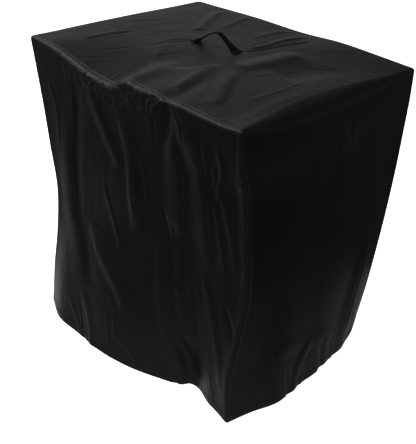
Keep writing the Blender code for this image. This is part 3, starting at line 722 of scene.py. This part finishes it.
def carrying_loop(cloth, material):
    """The webbing loop: flat sewn ends and a narrower, slightly curled grip."""
    rows = np.array(STRAP_ROWS) * MM
    steps = np.arange(len(rows))
    at = np.linspace(0, len(rows) - 1, STRAP_POINTS)
    along, lift, width = (curve(at, steps, rows[:, column]) for column in range(3))
    lift = np.maximum(lift, 0)
    slope = np.gradient(lift, along)
    tilt = np.stack([-slope, np.ones(len(at))], axis=1) / np.hypot(slope, 1)[:, None]
    turned = np.array([np.cos(STRAP_TURN), np.sin(STRAP_TURN)])
    aside = np.array([-turned[1], turned[0]])
    middle = np.array(STRAP_MIDDLE) + (SHIFT_X, SHIFT_Y)
    reach = (cloth[..., :2] - middle) @ np.stack([turned, aside], axis=1)
    under = (np.abs(reach[..., 0]) < STRAP_FOOTPRINT[0]) & (np.abs(reach[..., 1]) < STRAP_FOOTPRINT[1])
    base = cloth[..., 2][under].max() + STRAP_LIFT
    places = np.linspace(-0.5, 0.5, STRAP_COLUMNS)
    curl = STRAP_CURL * smooth((STRAP_CURL_UNDER - width) / STRAP_CURL_CHANGE)
    sides = []
    for thick in (STRAP_THICK, 0.0):
        edge = np.sqrt(np.clip(1 - (2 * np.abs(places)) ** STRAP_EDGE_POWER, 0, 1))
        level = STRAP_THICK / 2 + (thick - STRAP_THICK / 2) * (STRAP_EDGE + (1 - STRAP_EDGE) * edge)
        drop = curl[:, None] * (2 * np.abs(places)[None, :]) ** 2
        high = level[None, :] - drop
        run = along[:, None] + tilt[:, :1] * high
        across = width[:, None] * places
        grid = np.zeros((len(at), len(places), 3))
        grid[..., :2] = middle + run[..., None] * turned + across[..., None] * aside
        grid[..., 2] = base + lift[:, None] + tilt[:, 1:] * high
        sides.append(grid)
    path = np.concatenate([[0], np.cumsum(np.hypot(np.diff(along), np.diff(lift)))])
    lay = np.stack(np.broadcast_arrays(path[:, None], places[None, :] * STRAP_LAY), axis=-1)
    piece = closed_sheet("carrying_loop", sides[0], sides[1], lay, material)
    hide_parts("handle")
    return piece, sides[0], path


def stitches(name, runs, material):
    """Short raised stitches along runs of (points, normals) spaced at the stitch pitch."""
    shape = bmesh.new()
    for points, normals in runs:
        for start, end, normal in zip(points[:-1:2], points[1::2], normals[:-1:2]):
            start, end, normal = Vector(start), Vector(end), Vector(normal).normalized()
            run = end - start
            made = bmesh.ops.create_icosphere(shape, subdivisions=1, radius=0.5)
            aside = run.cross(normal).normalized()
            turn = Matrix((run, aside * STITCH_WIDE, normal * STITCH_HIGH)).transposed().to_4x4()
            turn.translation = (start + end) / 2 + normal * STITCH_LIFT
            bmesh.ops.transform(shape, matrix=turn, verts=made["verts"])
    bmesh.ops.recalc_face_normals(shape, faces=list(shape.faces))
    return new_piece(name, shape, material)


def even_run(points, normals, pitch):
    """The run resampled at an even pitch."""
    path = np.concatenate([[0], np.cumsum(np.linalg.norm(np.diff(points, axis=0), axis=1))])
    at = np.arange(pitch, path[-1] - pitch, pitch)
    picked = []
    for grid in (points, normals):
        picked.append(np.stack([np.interp(at, path, grid[:, axis]) for axis in range(3)], axis=1))
    return picked


# Finishes


class Reading:
    """A number on its way through a finish, so that plain sums add its Math nodes."""

    def __init__(self, finish, socket):
        self.finish = finish
        self.socket = socket

    def math(self, operation, first, second):
        return self.finish.node("ShaderNodeMath", {"operation": operation}, {0: first, 1: second})

    def __add__(self, other):
        return self.math("ADD", self, other)

    __radd__ = __add__

    def __sub__(self, other):
        return self.math("SUBTRACT", self, other)

    def __rsub__(self, other):
        return self.math("SUBTRACT", other, self)

    def __mul__(self, other):
        return self.math("MULTIPLY", self, other)

    __rmul__ = __mul__

    def __abs__(self):
        return self.math("ABSOLUTE", self, 0.0)

    def power(self, other):
        return self.math("POWER", self, other)

    def at_least(self, other):
        return self.math("MAXIMUM", self, other)

    def wave(self):
        return self.math("SINE", self, 0.0)


class Finish:
    """One procedural finish."""

    def __init__(self, name):
        self.material = bpy.data.materials.new(name)
        self.material.use_nodes = True
        self.tree = self.material.node_tree
        self.shader = self.tree.nodes["Principled BSDF"]

    @classmethod
    def of_room(cls, world):
        room = cls.__new__(cls)
        room.tree = world.node_tree
        room.shader = room.tree.nodes["Background"]
        return room

    def node(self, kind, settings, inputs, output=0):
        made = self.tree.nodes.new(kind)
        for key, value in settings.items():
            setattr(made, key, value)
        for key, value in inputs.items():
            self.feed(made.inputs[key], value)
        return Reading(self, made.outputs[output])

    def feed(self, socket, value):
        if isinstance(value, Reading):
            self.tree.links.new(value.socket, socket)
        else:
            socket.default_value = value

    def set(self, **values):
        for key, value in values.items():
            self.feed(self.shader.inputs[key.replace("_", " ")], value)

    def place(self, scale=(1.0, 1.0, 1.0), turn=0.0):
        here = self.node("ShaderNodeTexCoord", {}, {}, "Object")
        values = {"Vector": here, "Rotation": (0.0, 0.0, turn), "Scale": scale}
        return self.node("ShaderNodeMapping", {}, values)

    def parts(self, vector, axes):
        return [self.node("ShaderNodeSeparateXYZ", {}, {0: vector}, axis) for axis in axes]

    def lay(self):
        """Distances along and up the flat cloth, in metres."""
        return self.parts(self.node("ShaderNodeUVMap", {"uv_map": "lay"}, {}), "XY")

    def noise(self, where, scale, detail, distortion=0.0):
        values = {"Vector": where, "Scale": scale, "Detail": detail, "Distortion": distortion}
        values["Roughness"] = NOISE_ROUGHNESS
        return self.node("ShaderNodeTexNoise", {}, values, "Fac")

    def ridges(self, where, noise, sharpness, high):
        """Thin raised lines where the noise crosses its middle."""
        lines = 1 - abs(self.noise(where, *noise) * 2.0 - 1.0)
        return lines.at_least(0.0).power(sharpness) * high

    def blend(self, factor, first, second):
        """A colour between two colours."""
        inputs = {"Factor": factor, "A": (*first, 1), "B": (*second, 1)}
        return self.node("ShaderNodeMix", {"data_type": "RGBA"}, inputs, "Result")

    def ease(self, value, span, low=0.0, high=1.0):
        """Low before the span, high beyond it, and a smooth rise between."""
        ramp = {"Value": value, "From Min": span[0], "From Max": span[1], "To Min": low, "To Max": high}
        return self.node("ShaderNodeMapRange", {"interpolation_type": "SMOOTHSTEP"}, ramp, "Result")

    def facing(self, way, side):
        """How far a way points to a side, from -1 to 1."""
        return self.node("ShaderNodeVectorMath", {"operation": "DOT_PRODUCT"}, {0: way, 1: side}, "Value")

    def raise_by(self, height):
        """Feeds a height in metres to the surface."""
        self.set(Normal=self.node("ShaderNodeBump", {}, {"Strength": 1.0, "Distance": 1.0, "Height": height}))


# Relief of the coated cloth. A noise is its scale, detail and distortion, and heights are in metres
NOISE_ROUGHNESS = 0.55
DENTS, DENTS_HIGH = (17.0, 2.0, 0.7), 0.0011
CREASE_LINES = ((11.0, 3.0, 1.4), 9.0, 0.00012)  # noise, sharpness and height
CRACKLE = ((42.0, 2.0, 0.9), 5.0, 0.00006)
DRAWN_CRUMPLES = ((26.0, 2.5, 1.6), 2.0, 0.0016)
UPRIGHT_CRINKLES = ((20.0, 3.0, 0.6), 2.0, 0.0006)
LONG_STREAKS = ((27.0, 2.0, 1.2), 6.0, 0.0002)
UPRIGHT = (1.0, 1.0, 0.3)  # stretches a pattern upwards
STREAK_STRETCH = (0.3, 1.0, 1.0)
STREAK_TURN = radians(-64)
FRONT_Y = (-0.16, -0.22)  # places over which the front's own relief begins
FRONT_X = (0.265, 0.25)
DRAWN_Z = (0.53, 0.59)  # and the crumples under its seam
DRAWN_RIGHT = (0.09, 0.02)
DRAWN_LEFT = (-0.19, -0.13)
THREADS = 7800.0  # radians of the weave in a metre
THREAD_HIGH = 0.00002
GRAIN_HIGH = 0.00002

CLOTH_DARK = (0.0042, 0.0042, 0.0045)
CLOTH_PALE = (0.007, 0.007, 0.0074)
WEBBING_DARK = (0.002, 0.002, 0.0022)
WEBBING_PALE = (0.005, 0.005, 0.0054)
THREAD_DARK = (0.008, 0.008, 0.009)
THREAD_PALE = (0.02, 0.02, 0.022)


def crumple(finish, stretch):
    """Soft dents, thin creases and fine crackle of coated cloth, in metres."""
    where = finish.place(stretch)
    dents = finish.noise(where, *DENTS) * DENTS_HIGH
    return dents + finish.ridges(where, *CREASE_LINES) + finish.ridges(where, *CRACKLE)


def front_crinkles(finish):
    """Upright crinkles of the front, and crumples where its cloth is drawn up under the seam, in metres."""
    here = finish.place()
    x, y, z = finish.parts(here, "XYZ")
    front = finish.ease(y, FRONT_Y) * finish.ease(x, FRONT_X)
    drawn = finish.ease(z, DRAWN_Z) * front * finish.ease(x, DRAWN_RIGHT) * finish.ease(x, DRAWN_LEFT)
    crumples = finish.ridges(here, *DRAWN_CRUMPLES) * drawn
    return crumples + finish.ridges(finish.place(UPRIGHT), *UPRIGHT_CRINKLES) * front


def long_streaks(finish):
    """Fine wrinkles of the top that run from the front left to the back right, in metres."""
    return finish.ridges(finish.place(STREAK_STRETCH, STREAK_TURN), *LONG_STREAKS)


def weave(finish):
    """Over-and-under threads on the cloth's own lay, in metres."""
    along, up = finish.lay()
    return (along * THREADS).wave() * (up * THREADS).wave() * THREAD_HIGH


def coated_cloth(name, stretch, relief):
    """Relief is the finish's larger dents and creases, a function of the finish that gives metres."""
    finish = Finish(name)
    cloud = finish.noise(finish.place(), 6.0, 3.0)
    grain = finish.noise(finish.place(), 420.0, 2.0)
    finish.set(Base_Color=finish.blend(cloud, CLOTH_DARK, CLOTH_PALE))
    finish.set(Roughness=0.33 + cloud * 0.12 + grain * 0.06, Specular_IOR_Level=0.15)
    finish.raise_by(crumple(finish, stretch) + relief(finish) + weave(finish) + grain * GRAIN_HIGH)
    return finish.material


def webbing(name):
    """Matt ribbed webbing with a slanting twill and a little fuzz."""
    finish = Finish(name)
    along, across = finish.lay()
    rib_lines = (along * 3900.0).wave() * 0.00008
    twill = (along * 1500.0 + across * 3600.0).wave() * 0.00006
    fuzz = finish.noise(finish.place(), 900.0, 3.0)
    finish.set(Base_Color=finish.blend(fuzz, WEBBING_DARK, WEBBING_PALE))
    finish.set(Roughness=0.62 + fuzz * 0.2, Specular_IOR_Level=0.03)
    finish.raise_by(rib_lines + twill + fuzz * 0.00008)
    return finish.material


def thread(name):
    """Twisted sewing thread, a little shinier than the webbing."""
    finish = Finish(name)
    twist = finish.noise(finish.place(), 1500.0, 2.0)
    finish.set(Base_Color=finish.blend(twist, THREAD_DARK, THREAD_PALE), Roughness=0.45 + twist * 0.15)
    finish.raise_by(twist * 0.0001)
    return finish.material


def floor_finish(name):
    """An even pale floor that glows like a lit studio floor."""
    finish = Finish(name)
    cloud = finish.noise(finish.place(), 3.0, 2.0)
    finish.set(Base_Color=finish.blend(cloud, (0.86, 0.86, 0.86), (0.9, 0.9, 0.9)))
    finish.set(Roughness=0.9, Specular_IOR_Level=0.1)
    finish.set(Emission_Color=(1, 1, 1, 1), Emission_Strength=1.0)
    return finish.material


# The cover

SIDE_CLOTH = coated_cloth("coated_cloth_sides", (1.0, 1.0, 0.45), front_crinkles)
TOP_CLOTH = coated_cloth("coated_cloth_top", (1.0, 1.0, 1.0), long_streaks)
WEBBING = webbing("webbing")
THREAD = thread("black_thread")

sides = [side_cloth(number, SIDE_CLOTH) for number in range(4)]
top_piece, top_points = top_cloth(TOP_CLOTH)
loop_piece, loop_points, loop_path = carrying_loop(top_points, WEBBING)


def hem_stitching():
    """One row of stitches round the top of the hem."""
    runs = []
    for _, outer, normal in sides:
        heights = outer[outer.shape[0] // 2, :, 2]
        row = int(np.searchsorted(heights, HEM_DEEP - HEM_STITCH_DOWN))
        free = slice(HEM_STITCH_CLEAR, -HEM_STITCH_CLEAR)
        runs.append(even_run(outer[free, row], normal[free, row], HEM_PITCH))
    return stitches("hem_stitching", runs, THREAD)


def loop_stitching():
    """Two rows of stitches across each sewn end."""
    runs = []
    for place in LOOP_STITCH_ROWS:
        for distance in (place, loop_path[-1] - place):
            row = int(np.searchsorted(loop_path, distance))
            line = loop_points[row, LOOP_STITCH_CLEAR:-LOOP_STITCH_CLEAR]
            runs.append(even_run(line, np.tile(UP, (len(line), 1)), LOOP_PITCH))
    return stitches("loop_stitching", runs, THREAD)


hem_stitching()
loop_thread = loop_stitching()


# Floor, light and camera. Sides and spans of the room are ways on a unit ball

FLOOR_RADIUS = 14  # metres, also the height of the wall round it
FLOOR_DROP = 0.0004  # keeps the floor clear of the hem
ROOM_DARK = 0.045
ROOM_BRIGHT = 0.72  # strength of the bright side, low on the left and behind
ROOM_BRIGHT_SIDE = (-0.75, 0.6, -0.28)
ROOM_BRIGHT_SPREAD = (0.42, 1.0)
ROOM_BRIGHT_X = (-0.2, -0.6)
ROOM_NEAR = 0.42  # a softer glow low in front on the right
ROOM_NEAR_SIDE = (0.62, -0.75, -0.2)
ROOM_NEAR_SPREAD = (0.42, 0.88)
ROOM_HORIZON = 0.24  # a paler band near the horizon
ROOM_HORIZON_Z = (-0.36, -0.1)
ROOM_ABOVE = (0.05, 0.39)  # strength above the horizon, on the right and on the left
ROOM_ABOVE_X = (-0.25, -0.85)
ROOM_SPLIT_Z = (-0.15, 0.3)
LIGHTS = {
    "overhead": {"place": (0.15, 0.05, 3.6), "aim": (0.15, 0.05, 0), "size": (1.6, 1.6), "power": 62},
    "window": {"place": (-1.75, -1.25, 2.3), "aim": (0, -0.25, 0.62), "size": (2.0, 1.4), "power": 56},
    "near_floor": {"place": (-0.1, 0, 0.002), "aim": (-0.1, 0, 1), "size": (1.0, 0.9), "power": 0.7},
}
UNSEEN_LIGHTS = ("near_floor",)
SENSOR = 36  # mm
LENS = 60.905  # mm
VIEW = {
    "turn": 40.0956, "look_down": 30.7632, "roll": 4.3719,  # degrees
    "away": 1.6285, "aside": -0.0055, "rise": -0.0659,
}


def floor():
    """A round pale floor with a pale wall at its edge."""
    shape = bmesh.new()
    bmesh.ops.create_circle(shape, cap_ends=True, segments=64, radius=FLOOR_RADIUS)
    rim = [edge for edge in shape.edges if edge.is_boundary]
    wall_edge = bmesh.ops.extrude_edge_only(shape, edges=rim)["geom"]
    raised = [vert for vert in wall_edge if isinstance(vert, bmesh.types.BMVert)]
    bmesh.ops.translate(shape, vec=(0, 0, FLOOR_RADIUS), verts=raised)
    bmesh.ops.translate(shape, vec=(0, 0, -FLOOR_DROP), verts=list(shape.verts))
    bmesh.ops.recalc_face_normals(shape, faces=list(shape.faces))
    bmesh.ops.reverse_faces(shape, faces=list(shape.faces))
    mesh = bpy.data.meshes.new("floor")
    shape.to_mesh(mesh)
    shape.free()
    mesh.materials.append(floor_finish("floor_finish"))
    made = bpy.data.objects.new("floor", mesh)
    made.visible_diffuse = False
    made.visible_glossy = False
    made.visible_shadow = False
    bpy.context.scene.collection.objects.link(made)


def soft_light(name, place, aim, size, power):
    """A rectangular light at a place, turned to its aim."""
    data = bpy.data.lights.new(name, "AREA")
    data.shape = "RECTANGLE"
    data.size, data.size_y = size
    data.energy = power
    made = bpy.data.objects.new(name, data)
    bpy.context.scene.collection.objects.link(made)
    made.location = place
    made.visible_camera = name not in UNSEEN_LIGHTS
    made.rotation_euler = (Vector(aim) - Vector(place)).to_track_quat("-Z", "Y").to_euler()


def studio():
    """Soft lights and a room that is bright on the left and behind, with a paler band near the horizon."""
    bpy.context.scene.view_settings.view_transform = "Standard"
    world = bpy.data.worlds.new("studio")
    bpy.context.scene.world = world
    world.use_nodes = True
    room = Finish.of_room(world)
    way = room.node("ShaderNodeTexCoord", {}, {}, "Generated")
    x, z = room.parts(way, "XZ")
    bright = room.ease(room.facing(way, ROOM_BRIGHT_SIDE), ROOM_BRIGHT_SPREAD, 0.0, ROOM_BRIGHT - ROOM_DARK)
    near = room.ease(room.facing(way, ROOM_NEAR_SIDE), ROOM_NEAR_SPREAD, 0.0, ROOM_NEAR)
    horizon = room.ease(z, ROOM_HORIZON_Z, 0.0, ROOM_HORIZON)
    low = bright * room.ease(x, ROOM_BRIGHT_X) + ROOM_DARK + horizon + near
    high = room.ease(x, ROOM_ABOVE_X, ROOM_ABOVE[0], ROOM_ABOVE[1])
    room.set(Color=(1, 1, 1, 1), Strength=low + (high - low) * room.ease(z, ROOM_SPLIT_Z))
    for name, light in LIGHTS.items():
        soft_light(name, **light)


def photo_camera():
    """A camera that looks at the middle of the cover, moved aside and up in its own picture."""
    data = bpy.data.cameras.new("photo_view")
    data.sensor_width = SENSOR
    data.lens = LENS
    camera = bpy.data.objects.new("photo_view", data)
    bpy.context.scene.collection.objects.link(camera)
    turn = (
        Matrix.Rotation(radians(VIEW["turn"]), 4, "Z")
        @ Matrix.Rotation(radians(90 - VIEW["look_down"]), 4, "X")
        @ Matrix.Rotation(radians(VIEW["roll"]), 4, "Z")
    )
    right, up, back = (turn.col[axis].to_3d() for axis in range(3))
    middle = Vector((SHIFT_X, SHIFT_Y, HEIGHT / 2))
    place = middle + back * VIEW["away"] + right * VIEW["aside"] + up * VIEW["rise"]
    camera.matrix_world = Matrix.Translation(place) @ turn
    bpy.context.scene.camera = camera


floor()
studio()
photo_camera()
